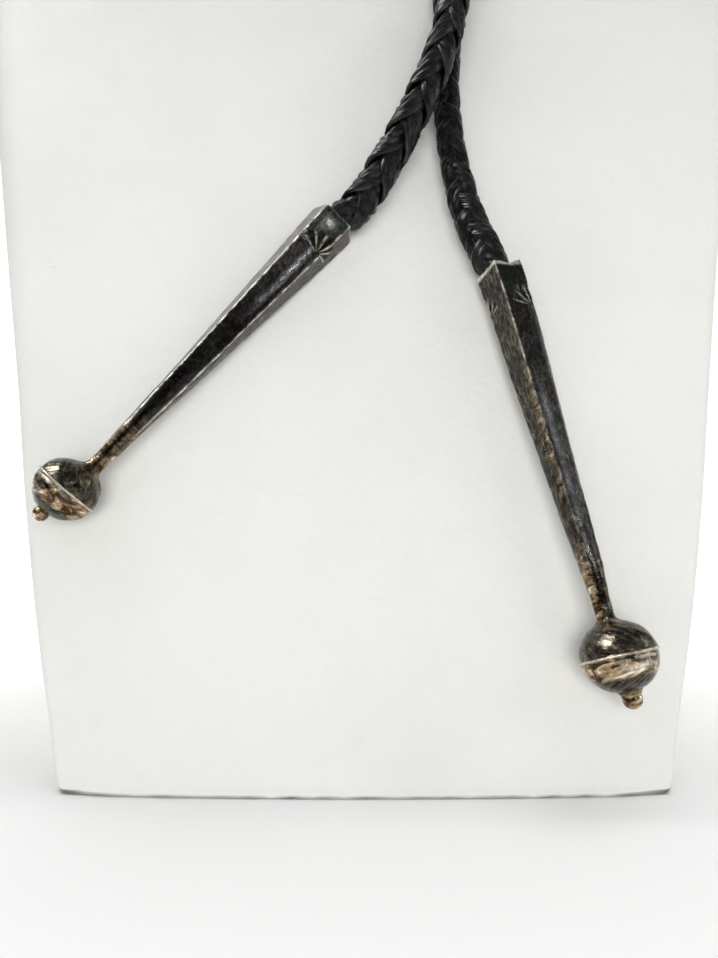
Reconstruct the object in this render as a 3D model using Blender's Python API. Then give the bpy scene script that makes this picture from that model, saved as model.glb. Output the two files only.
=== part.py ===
"""Bolo tie hung on a display neck bust.

A braided leather cord runs from the left tip up through a slide, round the neck of the bust and
down again through the slide to the right tip. Metres, +Z up, the bust faces -Y and stands on z = 0.
"""

import functools
import math

import bmesh
import bpy
from mathutils import Matrix, Vector

# Clearance that touching pieces keep.
CLEARANCE = 0.0003

# Neck bust.
BUST_HEIGHT = 0.375
SHOULDER_HEIGHT = 0.235
BASE_WIDTH = 0.0912
SHOULDER_WIDTH = 0.200
NECK_WIDTH = 0.083
BASE_DEPTH = 0.100
SHOULDER_DEPTH = 0.048
NECK_DEPTH = 0.062
FRONT_LEAN = 0.30            # setback of the front for each unit of height
NECK_SETBACK = 0.018         # further setback of the front from the shoulders to the neck's top
CHEST_BULGE = 0.0085         # how far the chest's middle stands before its sides at the shoulders
BASE_BULGE = 0.0013
EDGE_RADIUS = 0.003          # side corners at the base
BASE_FRONT_Y = -0.07225      # the bottom front edge, so that the origin is under the box's middle

# Cord.
CORD_DIAMETER = 0.0060

# Tips: stem, ball, seam flange and nub.
MOUTH_REACH = 0.0050         # from the stem's axis to the farthest corner of the mouth
STEM_END_RADIUS = 0.00133    # where the stem meets the ball
TIP_WALL = 0.0006
SOCKET_DEPTH = 0.0062
FLANGE_PROUD = 0.00035
FLANGE_THICKNESS = 0.0005
NECK_FILLET = 0.0009         # how far the solder climbs from the ball up the stem
SEAM_ANGLE = 84.0            # degrees from the ball's poles to where its halves meet the flange
FILLET_FOOT = 1.7            # the solder's radius on the ball, as a share of STEM_END_RADIUS
NUB_FOOT = 1.25              # the same under the nub, as a share of its radius
MOUTH_ROUND = 0.9            # circle mixed into the mouth, as a share of its corners' mean reach

TIPS = {
    "left": {
        "ball_x": -0.0469, "ball_height": 0.0443, "swing": 39.85, "length": 0.0655,
        "ball_radius": 0.00495, "ball_squash": 0.97, "nub_radius": 0.00125, "nub_reach": 0.0053,
        "ball_offset": -0.0006,
    },
    "right": {
        "ball_x": 0.0374, "ball_height": 0.0199, "swing": -11.4, "length": 0.0670,
        "ball_radius": 0.00555, "ball_squash": 0.93, "nub_radius": 0.0014, "nub_reach": 0.0062,
        "ball_offset": 0.0002,
    },
}

# Corners of each mouth, counterclockwise seen from the cord: across and back, as shares of
# MOUTH_REACH. Back is towards the bust.
MOUTH_CORNERS = {
    "left": (
        # across, back
        (-0.98, 0.20),
        (-0.26, -0.62),
        (0.68, -0.20),
        (0.60, 0.80),
    ),
    "right": (
        (-0.72, 0.35),
        (-0.36, -0.80),
        (0.72, -0.37),
        (0.35, 0.74),
    ),
}

# Stem sections between the ball (0) and the mouth (1): place, growth from the round end's size to
# the mouth's size, and how round the section still is.
STEM_ROWS = (
    # place, growth, roundness
    (0.03, 0.00, 1.00),
    (0.10, 0.06, 0.92),
    (0.22, 0.19, 0.60),
    (0.36, 0.33, 0.36),
    (0.50, 0.48, 0.22),
    (0.66, 0.645, 0.12),
    (0.82, 0.82, 0.06),
    (0.93, 0.94, 0.03),
    (1.00, 1.00, 0.02),
)

# Solder between the stem and the ball: drop below the stem's end as a share of NECK_FILLET, radius
# as a share of STEM_END_RADIUS, and how much of the ball's offset is left there.
FILLET_ROWS = (
    # drop, radius, offset
    (0.20, 1.06, 1.00),
    (0.85, 1.35, 0.80),
)

SIDE_STEPS = 5               # points on each side of a stem's section
BALL_STEPS = 6               # rings on each half of a ball
NUB_ANGLES = (70, 95, 125, 155)   # degrees from the nub's top to its rings

# Slide: a domed oval with a block of two channels on its back.
SLIDE_X = 0.0175
SLIDE_HEIGHT = 0.196         # of its middle above the base
SLIDE_WIDTH = 0.038
SLIDE_LENGTH = 0.047
SLIDE_DOME = 0.0052
SLIDE_EDGE = 0.0012
CHANNEL_SPACING = 0.0085     # between the two channels' middles
CHANNEL_LENGTH = 0.018
CHANNEL_WALL = 0.0009
CHANNEL_CLEARANCE = 0.0007
BLOCK_ROUNDING = 0.32        # of the block's long edges, as a share of its depth
SLIDE_POINTS = 40            # round the oval
DOME_STEPS = 6               # rings up the dome

# Torso sections up to the shoulders: height as a share of SHOULDER_HEIGHT, flare from the base's
# width to the shoulders', thinning from the base's depth to the shoulders', and how far the side
# corners have grown from a small edge to a half round.
TORSO_ROWS = (
    # height, flare, thinning, rounding
    (0.000, 0.000, 0.00, 0.00),
    (0.030, 0.046, 0.06, 0.00),
    (0.094, 0.132, 0.13, 0.01),
    (0.183, 0.228, 0.25, 0.02),
    (0.268, 0.311, 0.36, 0.04),
    (0.420, 0.474, 0.55, 0.09),
    (0.617, 0.675, 0.77, 0.18),
    (0.809, 0.860, 0.94, 0.30),
    (0.930, 0.965, 1.00, 0.42),
    (1.000, 1.000, 1.00, 0.52),
)

# Sections from the shoulders to the neck's top: height as a share of that rise, width left between
# the neck's and the shoulders', setback as a share of NECK_SETBACK, growth from the shoulders'
# depth to the neck's, bulge as a share of CHEST_BULGE, and rounding.
NECK_ROWS = (
    # height, width, setback, deepening, bulge, rounding
    (0.10, 0.985, 0.10, 0.06, 0.85, 0.60),
    (0.20, 0.900, 0.20, 0.20, 0.65, 0.69),
    (0.29, 0.700, 0.30, 0.42, 0.48, 0.76),
    (0.37, 0.440, 0.38, 0.66, 0.36, 0.82),
    (0.45, 0.220, 0.46, 0.86, 0.28, 0.86),
    (0.55, 0.070, 0.56, 0.97, 0.22, 0.89),
    (0.70, 0.000, 0.70, 1.00, 0.20, 0.90),
    (0.86, 0.010, 0.86, 1.00, 0.20, 0.90),
    (0.97, 0.020, 0.97, 1.00, 0.20, 0.90),
    (1.00, -0.050, 1.00, 0.80, 0.20, 0.90),
)

FRONT_STEPS = 4              # points on each half of a section's front
CORNER_STEPS = 6             # points on each of its corners
SURFACE_PROBE = 0.004        # reach of the test for the front's slope

# Route of the cord's middle, from inside the left tip to inside the right tip, in metres, with the
# cord's thickness there as a share of CORD_DIAMETER.
CORD_ROUTE = (
    # x, y, z, thickness
    (-0.0079, -0.0502, 0.0885, 0.46),
    (-0.0045, -0.0490, 0.0923, 0.46),
    (-0.0003, -0.0484, 0.0966, 1.06),
    (0.0052, -0.0468, 0.1054, 1.12),
    (0.0096, -0.0462, 0.1138, 1.12),
    (0.0134, -0.0451, 0.1226, 1.12),
    (0.0161, -0.0429, 0.1312, 1.12),
    (0.0176, -0.0404, 0.1390, 1.10),
    (0.0200, -0.0366, 0.1490, 1.04),
    (0.0216, -0.0310, 0.1600, 1.00),
    (0.0220, -0.0239, 0.1773, 1.00),
    (0.0219, -0.0178, 0.1974, 1.00),
    (0.0217, -0.0118, 0.2176, 1.00),
    (0.0262, -0.0052, 0.2366, 1.00),
    (0.0332, -0.0022, 0.2554, 1.00),
    (0.0415, 0.0012, 0.2759, 1.00),
    (0.0460, 0.0085, 0.2955, 1.00),
    (0.0545, 0.0310, 0.3064, 1.00),
    (0.0463, 0.0558, 0.3100, 1.00),
    (0.0249, 0.0712, 0.3125, 1.00),
    (0.0000, 0.0749, 0.3144, 1.00),
    (-0.0249, 0.0712, 0.3125, 1.00),
    (-0.0463, 0.0558, 0.3100, 1.00),
    (-0.0545, 0.0310, 0.3064, 1.00),
    (-0.0460, 0.0085, 0.2955, 1.00),
    (-0.0322, 0.0003, 0.2765, 1.00),
    (-0.0151, -0.0027, 0.2554, 1.00),
    (0.0010, -0.0057, 0.2366, 1.00),
    (0.0133, -0.0120, 0.2176, 1.00),
    (0.0134, -0.0180, 0.1974, 1.00),
    (0.0135, -0.0241, 0.1773, 1.00),
    (0.0152, -0.0294, 0.1560, 0.97),
    (0.0168, -0.0330, 0.1410, 0.93),
    (0.0166, -0.0363, 0.1307, 0.93),
    (0.0160, -0.0388, 0.1222, 0.93),
    (0.0161, -0.0416, 0.1131, 0.93),
    (0.0171, -0.0444, 0.1035, 0.93),
    (0.0193, -0.0478, 0.0934, 0.93),
    (0.0236, -0.0514, 0.0824, 0.46),
    (0.0247, -0.0530, 0.0775, 0.46),
)

CORD_STEP = 0.0135           # between the points of the cord's tube
CORD_END_STEPS = (0.0, 0.0054, 0.0088)   # closer points where the cord narrows into a tip


def clear_scene():
    """Remove what the file already holds."""
    for old in list(bpy.data.objects):
        bpy.data.objects.remove(old, do_unlink=True)


def make_material(name, colour, metallic, roughness):
    """A plain finish."""
    material = bpy.data.materials.new(name)
    material.use_nodes = True
    shader = material.node_tree.nodes["Principled BSDF"]
    shader.inputs["Base Color"].default_value = (*colour, 1.0)
    shader.inputs["Metallic"].default_value = metallic
    shader.inputs["Roughness"].default_value = roughness
    return material


def add_object(name, mesh, material, matrix=None, sharp_angle=35.0):
    """Put a mesh in the scene with its finish and smooth shading."""
    mesh.materials.append(material)
    mesh.shade_smooth()
    mesh.set_sharp_from_angle(angle=math.radians(sharp_angle))
    piece = bpy.data.objects.new(name, mesh)
    if matrix is not None:
        piece.matrix_world = matrix
    bpy.context.collection.objects.link(piece)
    return piece


def mesh_from_rings(name, rings):
    """Skin a closed body over rings of equal length, with both ends capped."""
    bm = bmesh.new()
    loops = [[bm.verts.new(point) for point in ring] for ring in rings]
    count = len(loops[0])
    for lower, upper in zip(loops, loops[1:]):
        for i in range(count):
            j = (i + 1) % count
            bm.faces.new((lower[i], lower[j], upper[j], upper[i]))
    bm.faces.new(list(reversed(loops[0])))
    bm.faces.new(loops[-1])
    bmesh.ops.recalc_face_normals(bm, faces=bm.faces)
    mesh = bpy.data.meshes.new(name)
    bm.to_mesh(mesh)
    bm.free()
    return mesh


def catmull_rom(before, start, end, after, t):
    """One value on the smooth curve from start to end, t from 0 to 1."""
    return 0.5 * (
        2 * start
        + (end - before) * t
        + (2 * before - 5 * start + 4 * end - after) * t ** 2
        + (3 * start - before - 3 * end + after) * t ** 3
    )


def smooth_rows(rows, steps):
    """Rows of numbers read from a smooth curve through the given ones, steps in each gap."""
    padded = [rows[0], *rows, rows[-1]]
    result = []
    for k in range(len(rows) - 1):
        for step in range(steps):
            t = step / steps
            result.append(tuple(
                catmull_rom(*(padded[k + n][column] for n in range(4)), t)
                for column in range(len(rows[0]))
            ))
    result.append(tuple(rows[-1]))
    return result


def mix(start, end, share):
    """Value between start and end."""
    return start + (end - start) * share


def bust_sections():
    """Height, half width, front y, depth, bulge and rounding of each section of the bust."""
    shoulder_front = BASE_FRONT_Y + FRONT_LEAN * SHOULDER_HEIGHT
    sections = []
    for height, flare, thinning, rounding in TORSO_ROWS:
        z = height * SHOULDER_HEIGHT
        sections.append((
            z,
            mix(BASE_WIDTH, SHOULDER_WIDTH, flare) / 2,
            BASE_FRONT_Y + FRONT_LEAN * z,
            mix(BASE_DEPTH, SHOULDER_DEPTH, thinning),
            mix(BASE_BULGE, CHEST_BULGE, height ** 2),
            rounding,
        ))
    rise = BUST_HEIGHT - SHOULDER_HEIGHT
    for height, width, setback, deepening, bulge, rounding in NECK_ROWS:
        sections.append((
            SHOULDER_HEIGHT + height * rise,
            mix(NECK_WIDTH, SHOULDER_WIDTH, width) / 2,
            shoulder_front + setback * NECK_SETBACK,
            mix(SHOULDER_DEPTH, NECK_DEPTH, deepening),
            CHEST_BULGE * bulge,
            rounding,
        ))
    return sections


def bulge_setback(x, half_width, bulge):
    """How far a front with this bulge lies behind its middle at x."""
    return bulge * (x / half_width) ** 2


def section_outline(z, half_width, front, depth, bulge, rounding):
    """One level outline of the bust, counterclockwise seen from above, from the front's middle."""
    corner_x = mix(EDGE_RADIUS, half_width, rounding)
    corner_y = mix(EDGE_RADIUS, depth / 2, rounding)
    flat = half_width - corner_x
    front_corner = front + bulge_setback(flat, half_width, bulge) + corner_y
    back = front + depth
    half = []
    for i in range(FRONT_STEPS):
        x = flat * i / FRONT_STEPS
        half.append((x, front + bulge_setback(x, half_width, bulge)))
    for i in range(CORNER_STEPS + 1):
        angle = math.radians(90 * i / CORNER_STEPS)
        half.append((flat + corner_x * math.sin(angle), front_corner - corner_y * math.cos(angle)))
    half.append((half_width, (front_corner + back - corner_y) / 2))
    for i in range(CORNER_STEPS + 1):
        angle = math.radians(90 * i / CORNER_STEPS)
        half.append((flat + corner_x * math.cos(angle), back - corner_y * (1 - math.sin(angle))))
    half.append((flat / 2, back))
    mirrored = [(-x, y) for x, y in reversed(half[1:])]
    return [(x, y, z) for x, y in [*half, (0.0, back), *mirrored]]


def make_neck_bust(material):
    """The display bust: one closed body lofted from its base to the neck's top."""
    rings = [section_outline(*row) for row in smooth_rows(bust_sections(), 2)]
    return add_object("neck_bust", mesh_from_rings("neck_bust", rings), material)


@functools.lru_cache
def fine_sections():
    """The bust's sections at close heights."""
    return smooth_rows(bust_sections(), 8)


def front_at(x, z):
    """y of the bust's front at a place on the torso."""
    rows = fine_sections()
    for lower, upper in zip(rows, rows[1:]):
        if lower[0] <= z <= upper[0]:
            share = (z - lower[0]) / (upper[0] - lower[0])
            half_width, front, bulge = (mix(lower[n], upper[n], share) for n in (1, 2, 4))
            return front + bulge_setback(x, half_width, bulge)
    return rows[-1][2]


def front_frame(x, z):
    """Point on the torso's front with its across, upward and outward directions."""
    probe = SURFACE_PROBE
    point = Vector((x, front_at(x, z), z))
    across = Vector((2 * probe, front_at(x + probe, z) - front_at(x - probe, z), 0)).normalized()
    slope = Vector((0, front_at(x, z + probe) - front_at(x, z - probe), 2 * probe))
    outward = across.cross(slope).normalized()
    return point, across, outward.cross(across), outward


def inset_corners(corners, wall):
    """Corners of the polygon whose sides lie one wall inside the given counterclockwise one."""
    result = []
    count = len(corners)
    for i in range(count):
        before, here, after = corners[i - 1], corners[i], corners[(i + 1) % count]
        first = (Vector(here) - Vector(before)).normalized()
        second = (Vector(after) - Vector(here)).normalized()
        inward = Vector((-first.y, first.x)) + Vector((-second.y, second.x))
        half_angle_cosine = inward.length / 2
        result.append(Vector(here) + inward.normalized() * wall / half_angle_cosine)
    return result


def mouth_corners(side):
    """Outer corners of a tip's mouth, in metres."""
    return [Vector((across, back)) * MOUTH_REACH for across, back in MOUTH_CORNERS[side]]


def stem_ring(corners, radius, roundness, z, shift):
    """Section of a stem: a four-sided outline mixed with a circle of the given radius."""
    ring = []
    count = len(corners)
    for i in range(count):
        for step in range(SIDE_STEPS):
            flat = corners[i].lerp(corners[(i + 1) % count], step / SIDE_STEPS)
            angle = math.atan2(flat.y, flat.x)
            curved = Vector((math.cos(angle), math.sin(angle))) * radius
            point = flat.lerp(curved, roundness)
            ring.append((point.x + shift, point.y, z))
    return ring


def round_ring(angles, radius, z, shift):
    """Circular section whose points lie at the angles of the stem's."""
    return [(radius * math.cos(a) + shift, radius * math.sin(a), z) for a in angles]


def stem_rings(side, stem_start):
    """Sections of a tip's stem and socket, from the socket's floor over the rim to the ball."""
    sizes = TIPS[side]
    stem_length = sizes["length"] - stem_start
    mouth = mouth_corners(side)
    mean_reach = sum(corner.length for corner in mouth) / len(mouth)

    def section(corners, place, growth, roundness):
        scale = mix(STEM_END_RADIUS / mean_reach, 1.0, growth)
        radius = mix(STEM_END_RADIUS, mean_reach * MOUTH_ROUND, growth)
        sized = [corner * scale for corner in corners]
        shift = -sizes["ball_offset"] * (1 - place)
        return stem_ring(sized, radius, roundness, stem_start + place * stem_length, shift)

    floor = 1.0 - SOCKET_DEPTH / stem_length
    bare = [section(inset_corners(mouth, TIP_WALL), place, place, 0.0) for place in (floor, 1.0)]
    return bare + [section(mouth, *row) for row in reversed(STEM_ROWS)]


def ball_rings(side, stem_start, angles):
    """Sections of a tip from the solder under its stem over the ball and its flange to the nub."""
    sizes = TIPS[side]
    ball, nub = sizes["ball_radius"], sizes["nub_radius"]
    height = ball * sizes["ball_squash"]
    rings = []
    for drop, radius, offset in FILLET_ROWS:
        rings.append(round_ring(angles, STEM_END_RADIUS * radius, stem_start - NECK_FILLET * drop,
                                -sizes["ball_offset"] * offset))
    seam = math.radians(SEAM_ANGLE)
    first = math.asin(STEM_END_RADIUS * FILLET_FOOT / ball)
    last = math.asin(nub * NUB_FOOT / ball)
    for i in range(BALL_STEPS + 1):
        angle = mix(first, seam, i / BALL_STEPS)
        shift = -sizes["ball_offset"] * max(0.0, 0.5 - i / 4)
        rings.append(round_ring(angles, ball * math.sin(angle), height * math.cos(angle), shift))
    for side_of_seam in (0.5, -0.5):
        rings.append(round_ring(angles, ball + FLANGE_PROUD, FLANGE_THICKNESS * side_of_seam, 0.0))
    for i in range(BALL_STEPS + 1):
        angle = mix(seam, last, i / BALL_STEPS)
        rings.append(round_ring(angles, ball * math.sin(angle), -height * math.cos(angle), 0.0))
    for degrees in NUB_ANGLES:
        angle = math.radians(degrees)
        rings.append(round_ring(angles, nub * math.sin(angle),
                                -sizes["nub_reach"] + nub * math.cos(angle), 0.0))
    return rings


def make_tip(side, material):
    """A tip, one soldered solid: socket, tapered stem, ball with its seam flange, and end nub.

    Its own frame has the ball's middle at the origin and the mouth up +Z, with -Y away from the
    bust.
    """
    sizes = TIPS[side]
    stem_start = sizes["ball_radius"] * sizes["ball_squash"] + NECK_FILLET
    stem = stem_rings(side, stem_start)
    middle_x = sum(x for x, _, _ in stem[-1]) / len(stem[-1])
    angles = [math.atan2(y, x - middle_x) for x, y, _ in stem[-1]]
    rings = stem + ball_rings(side, stem_start, angles)
    return add_object(f"tip_{side}", mesh_from_rings(f"tip_{side}", rings), material,
                      tip_matrix(side))


def seat_point(x, z, lift):
    """Point at this x and z that stands off the bust's front by lift, with its directions."""
    foot_x, foot_z = x, z
    for _ in range(4):
        foot, across, upward, outward = front_frame(foot_x, foot_z)
        foot_x, foot_z = x - outward.x * lift, z - outward.z * lift
    return foot + outward * lift, across, upward, outward


def tip_matrix(side):
    """Where a tip lies: its ball and its mouth both rest on the bust's front."""
    sizes = TIPS[side]
    ball_lift = sizes["ball_radius"] + FLANGE_PROUD + CLEARANCE
    deepest = max(back for _, back in MOUTH_CORNERS[side]) * MOUTH_REACH
    ball_middle, across, upward, outward = seat_point(sizes["ball_x"], sizes["ball_height"], ball_lift)
    swing = math.radians(sizes["swing"])
    axis = across * math.sin(swing) + upward * math.cos(swing)
    for _ in range(4):
        mouth = ball_middle + axis * sizes["length"]
        seated = seat_point(mouth.x, mouth.z, deepest + CLEARANCE)[0]
        axis = (seated - ball_middle).normalized()
    front = (outward - axis * outward.dot(axis)).normalized()
    matrix = Matrix((axis.cross(front), -front, axis)).transposed().to_4x4()
    matrix.translation = ball_middle
    return matrix


def oval_ring(width, length, height):
    """Level oval ring."""
    turns = [2 * math.pi * i / SLIDE_POINTS for i in range(SLIDE_POINTS)]
    return [(width / 2 * math.cos(a), length / 2 * math.sin(a), height) for a in turns]


def make_slide(material):
    """The slide: a domed oval with a block behind it that holds two channels for the cord.

    Its own frame has +Y up the bust, +Z out of the bust and the block's back face at z = 0.
    """
    bore = CORD_DIAMETER / 2 + CHANNEL_CLEARANCE
    block_depth = 2 * (bore + CHANNEL_WALL)
    block_width = CHANNEL_SPACING + block_depth
    dome_back = block_depth - CHANNEL_WALL / 2
    rings = [oval_ring(SLIDE_WIDTH, SLIDE_LENGTH, dome_back)]
    for i in range(DOME_STEPS):
        angle = math.radians(90 * i / DOME_STEPS)
        share = math.cos(angle)
        height = dome_back + SLIDE_EDGE + SLIDE_DOME * math.sin(angle)
        rings.append(oval_ring(SLIDE_WIDTH * share, SLIDE_LENGTH * share, height))
    point, across, upward, outward = front_frame(SLIDE_X, SLIDE_HEIGHT)
    matrix = Matrix((across, upward, outward)).transposed().to_4x4()
    matrix.translation = point + outward * CLEARANCE
    slide = add_object("slide", mesh_from_rings("slide", rings), material, matrix)

    block = add_guide("channel_block", block_mesh(block_width, CHANNEL_LENGTH, block_depth), matrix)
    add_boolean(slide, block, "UNION")
    for name, direction in (("left_channel", -1), ("right_channel", 1)):
        drill = cylinder_mesh(bore, CHANNEL_LENGTH * 1.5)
        drill.transform(Matrix.Translation((direction * CHANNEL_SPACING / 2, 0, block_depth / 2)))
        add_boolean(slide, add_guide(name, drill, matrix), "DIFFERENCE")
    return slide


def block_mesh(width, length, depth):
    """Block with rounded long edges, its back face at z = 0."""
    bm = bmesh.new()
    bmesh.ops.create_cube(bm, size=1.0)
    bmesh.ops.transform(bm, verts=bm.verts, matrix=Matrix.Diagonal((width, length, depth, 1.0)))
    bmesh.ops.translate(bm, verts=bm.verts, vec=(0, 0, depth / 2))
    long_edges = [edge for edge in bm.edges
                  if abs(edge.verts[0].co.y - edge.verts[1].co.y) > length / 2]
    bmesh.ops.bevel(bm, geom=long_edges, offset=depth * BLOCK_ROUNDING, segments=4, profile=0.5,
                    affect="EDGES")
    mesh = bpy.data.meshes.new("channel_block")
    bm.to_mesh(mesh)
    bm.free()
    return mesh


def cylinder_mesh(radius, length):
    """Cylinder along Y."""
    bm = bmesh.new()
    bmesh.ops.create_cone(bm, cap_ends=True, segments=24, radius1=radius, radius2=radius,
                          depth=length, matrix=Matrix.Rotation(math.radians(90), 4, "X"))
    mesh = bpy.data.meshes.new("channel")
    bm.to_mesh(mesh)
    bm.free()
    return mesh


def add_guide(name, mesh, matrix):
    """Body that only shapes another one."""
    guide = bpy.data.objects.new(name, mesh)
    guide.matrix_world = matrix
    guide.hide_render = True
    guide.display_type = "WIRE"
    bpy.context.collection.objects.link(guide)
    return guide


def add_boolean(piece, guide, operation):
    """Join a guide to a piece or cut it out."""
    modifier = piece.modifiers.new(guide.name, "BOOLEAN")
    modifier.object = guide
    modifier.operation = operation
    modifier.solver = "EXACT"


def cord_points():
    """Points of the cord's tube, evenly spaced on the smooth curve through its route."""
    fine = smooth_rows(CORD_ROUTE, 40)
    travelled = [0.0]
    for start, end in zip(fine, fine[1:]):
        travelled.append(travelled[-1] + math.dist(start[:3], end[:3]))
    length, narrowing = travelled[-1], CORD_END_STEPS[-1]
    count = round((length - 2 * narrowing) / CORD_STEP)
    step = (length - 2 * narrowing) / count
    wanted = [*CORD_END_STEPS, *(narrowing + step * i for i in range(1, count)),
              *(length - place for place in reversed(CORD_END_STEPS))]
    points = []
    k = 0
    for distance in wanted:
        while k < len(fine) - 2 and travelled[k + 1] < distance:
            k += 1
        share = (distance - travelled[k]) / (travelled[k + 1] - travelled[k])
        points.append(tuple(mix(a, b, share) for a, b in zip(fine[k], fine[k + 1])))
    return points


def make_cord(material):
    """The braided cord as a plain tube along its whole length."""
    curve = bpy.data.curves.new("cord", "CURVE")
    curve.dimensions = "3D"
    curve.bevel_depth = CORD_DIAMETER / 2
    curve.bevel_resolution = 3
    curve.use_fill_caps = True
    points = cord_points()
    spline = curve.splines.new("POLY")
    spline.points.add(len(points) - 1)
    for target, (x, y, z, thickness) in zip(spline.points, points):
        target.co = (x, y, z, 1.0)
        target.radius = thickness
    curve.materials.append(material)
    cord = bpy.data.objects.new("cord", curve)
    bpy.context.collection.objects.link(cord)
    return cord


def main():
    clear_scene()
    leatherette = make_material("leatherette", (0.82, 0.81, 0.78), 0.0, 0.55)
    leather = make_material("black_leather", (0.012, 0.011, 0.012), 0.0, 0.42)
    silver = make_material("tarnished_silver", (0.16, 0.14, 0.12), 1.0, 0.33)
    make_neck_bust(leatherette)
    make_tip("left", silver)
    make_tip("right", silver)
    make_slide(silver)
    make_cord(leather)


main()
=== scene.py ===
import math
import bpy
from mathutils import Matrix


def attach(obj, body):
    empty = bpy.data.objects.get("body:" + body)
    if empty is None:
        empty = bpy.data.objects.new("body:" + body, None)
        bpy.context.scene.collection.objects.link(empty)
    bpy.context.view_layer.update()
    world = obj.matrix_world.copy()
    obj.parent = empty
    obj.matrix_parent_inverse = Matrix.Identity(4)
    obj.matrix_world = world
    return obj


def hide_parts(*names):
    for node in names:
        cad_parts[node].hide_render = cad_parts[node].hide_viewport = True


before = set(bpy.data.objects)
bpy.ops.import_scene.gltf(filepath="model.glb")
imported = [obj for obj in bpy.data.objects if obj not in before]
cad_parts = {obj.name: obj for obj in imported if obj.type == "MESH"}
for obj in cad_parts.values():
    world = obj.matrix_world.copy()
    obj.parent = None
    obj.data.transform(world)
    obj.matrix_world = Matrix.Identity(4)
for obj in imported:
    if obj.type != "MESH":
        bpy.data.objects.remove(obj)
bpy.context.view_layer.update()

from types import SimpleNamespace

import bpy
import numpy as np

body = "root"
pi = math.pi


# Helpers for whole-array shapes

def ramp(low, high, value):
    # 0 below low, 1 above high, and 3t^2 - 2t^3 between them
    t = np.clip((np.asarray(value, float) - low) / (high - low), 0.0, 1.0)
    return t * t * (3.0 - 2.0 * t)


def mix(start, end, share):
    return start + (end - start) * share


def bell(value, middle, width):
    # e^(-((value - middle) / width)^2)
    return np.exp(-((value - middle) / width) ** 2)


def named(plan):
    # A dictionary whose values are read as plan.name
    return SimpleNamespace(**plan)


def together(*columns):
    # Coordinates of unlike shapes as one array of points
    return np.stack(np.broadcast_arrays(*columns), -1)


def unit(vectors):
    return vectors / np.linalg.norm(vectors, axis=-1, keepdims=True)


def smoothLine(rows, steps):
    # Catmull-Rom: for rows A, B, C, D each point is half of
    # 2B + (C - A)t + (2A - 5B + 4C - D)t^2 + (3B - A - 3C + D)t^3
    rows = np.asarray(rows, float)
    padded = np.vstack([rows[:1], rows, rows[-1:]])
    a, b, c, d = (padded[n:n + len(rows) - 1, None, :] for n in range(4))
    t = (np.arange(steps) / steps)[None, :, None]
    line = 0.5 * (2 * b + (c - a) * t + (2 * a - 5 * b + 4 * c - d) * t ** 2
                  + (3 * b - a - 3 * c + d) * t ** 3)
    return np.vstack([line.reshape(-1, rows.shape[1]), rows[-1:]])


def wander(place, seed, size=1.0):
    # Sum of four sines of unlike wavelengths, from about -1 to 1: the unevenness of handwork
    random = np.random.default_rng(seed)
    waves = random.uniform(0.55, 2.9, 4) / size
    starts = random.uniform(0.0, 2 * pi, 4)
    place = np.asarray(place, float)[..., None]
    return np.sin(place * waves * 2 * pi + starts).sum(-1) / 2.6


def ringFaces(rows, columns, start=0, closed=True):
    # Quads between neighbouring rings of points; closed joins a ring's last point to its first
    r = np.arange(rows - 1)[:, None]
    c = np.arange(columns if closed else columns - 1)[None, :]
    here = start + r * columns + c
    there = start + r * columns + (c + 1) % columns
    return np.stack([here, there, there + columns, here + columns], -1).reshape(-1, 4)


def fanFaces(centre, ring, outward=True):
    # Triangles from one point to a ring
    after = np.roll(ring, -1)
    order = (ring, after) if outward else (after, ring)
    return np.stack([np.full(len(ring), centre), *order], -1)


def closedFaces(rows, columns, start=0, inward=False):
    # Rings of points, followed by one point that closes the first ring and one for the last;
    # inward is for rings whose plain order would face that way
    ends, ring = start + rows * columns, np.arange(columns)
    quads = ringFaces(rows, columns, start)
    return [quads[:, ::-1] if inward else quads, fanFaces(ends, start + ring, outward=inward),
            fanFaces(ends + 1, ends - columns + ring, outward=not inward)]


def buildPiece(name, points, faces, material, uv=None, marks=None):
    # Mesh from arrays; uv is one pair and marks one number for each point
    mesh = bpy.data.meshes.new(name)
    faces = sorted(faces, key=lambda part: -part.shape[1])       # quads before triangles
    corners = np.concatenate([part.ravel() for part in faces]).astype(np.int32)
    sizes = np.concatenate([np.full(len(part), part.shape[1]) for part in faces])
    mesh.vertices.add(len(points))
    mesh.vertices.foreach_set("co", np.ascontiguousarray(points, np.float32).ravel())
    mesh.loops.add(len(corners))
    mesh.loops.foreach_set("vertex_index", corners)
    mesh.polygons.add(len(sizes))
    mesh.polygons.foreach_set("loop_start", (np.cumsum(sizes) - sizes).astype(np.int32))
    if uv is not None:
        layer = mesh.uv_layers.new(name="lay")
        layer.data.foreach_set("uv", np.asarray(uv, np.float32)[corners].ravel())
    for key, values in (marks or {}).items():
        mark = mesh.attributes.new(key, "FLOAT", "POINT")
        mark.data.foreach_set("value", np.ascontiguousarray(values, np.float32).ravel())
    mesh.update(calc_edges=True)
    mesh.validate()
    mesh.shade_smooth()
    mesh.materials.append(material)
    piece = bpy.data.objects.new(name, mesh)
    bpy.context.collection.objects.link(piece)
    return piece


# Material helper

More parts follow.
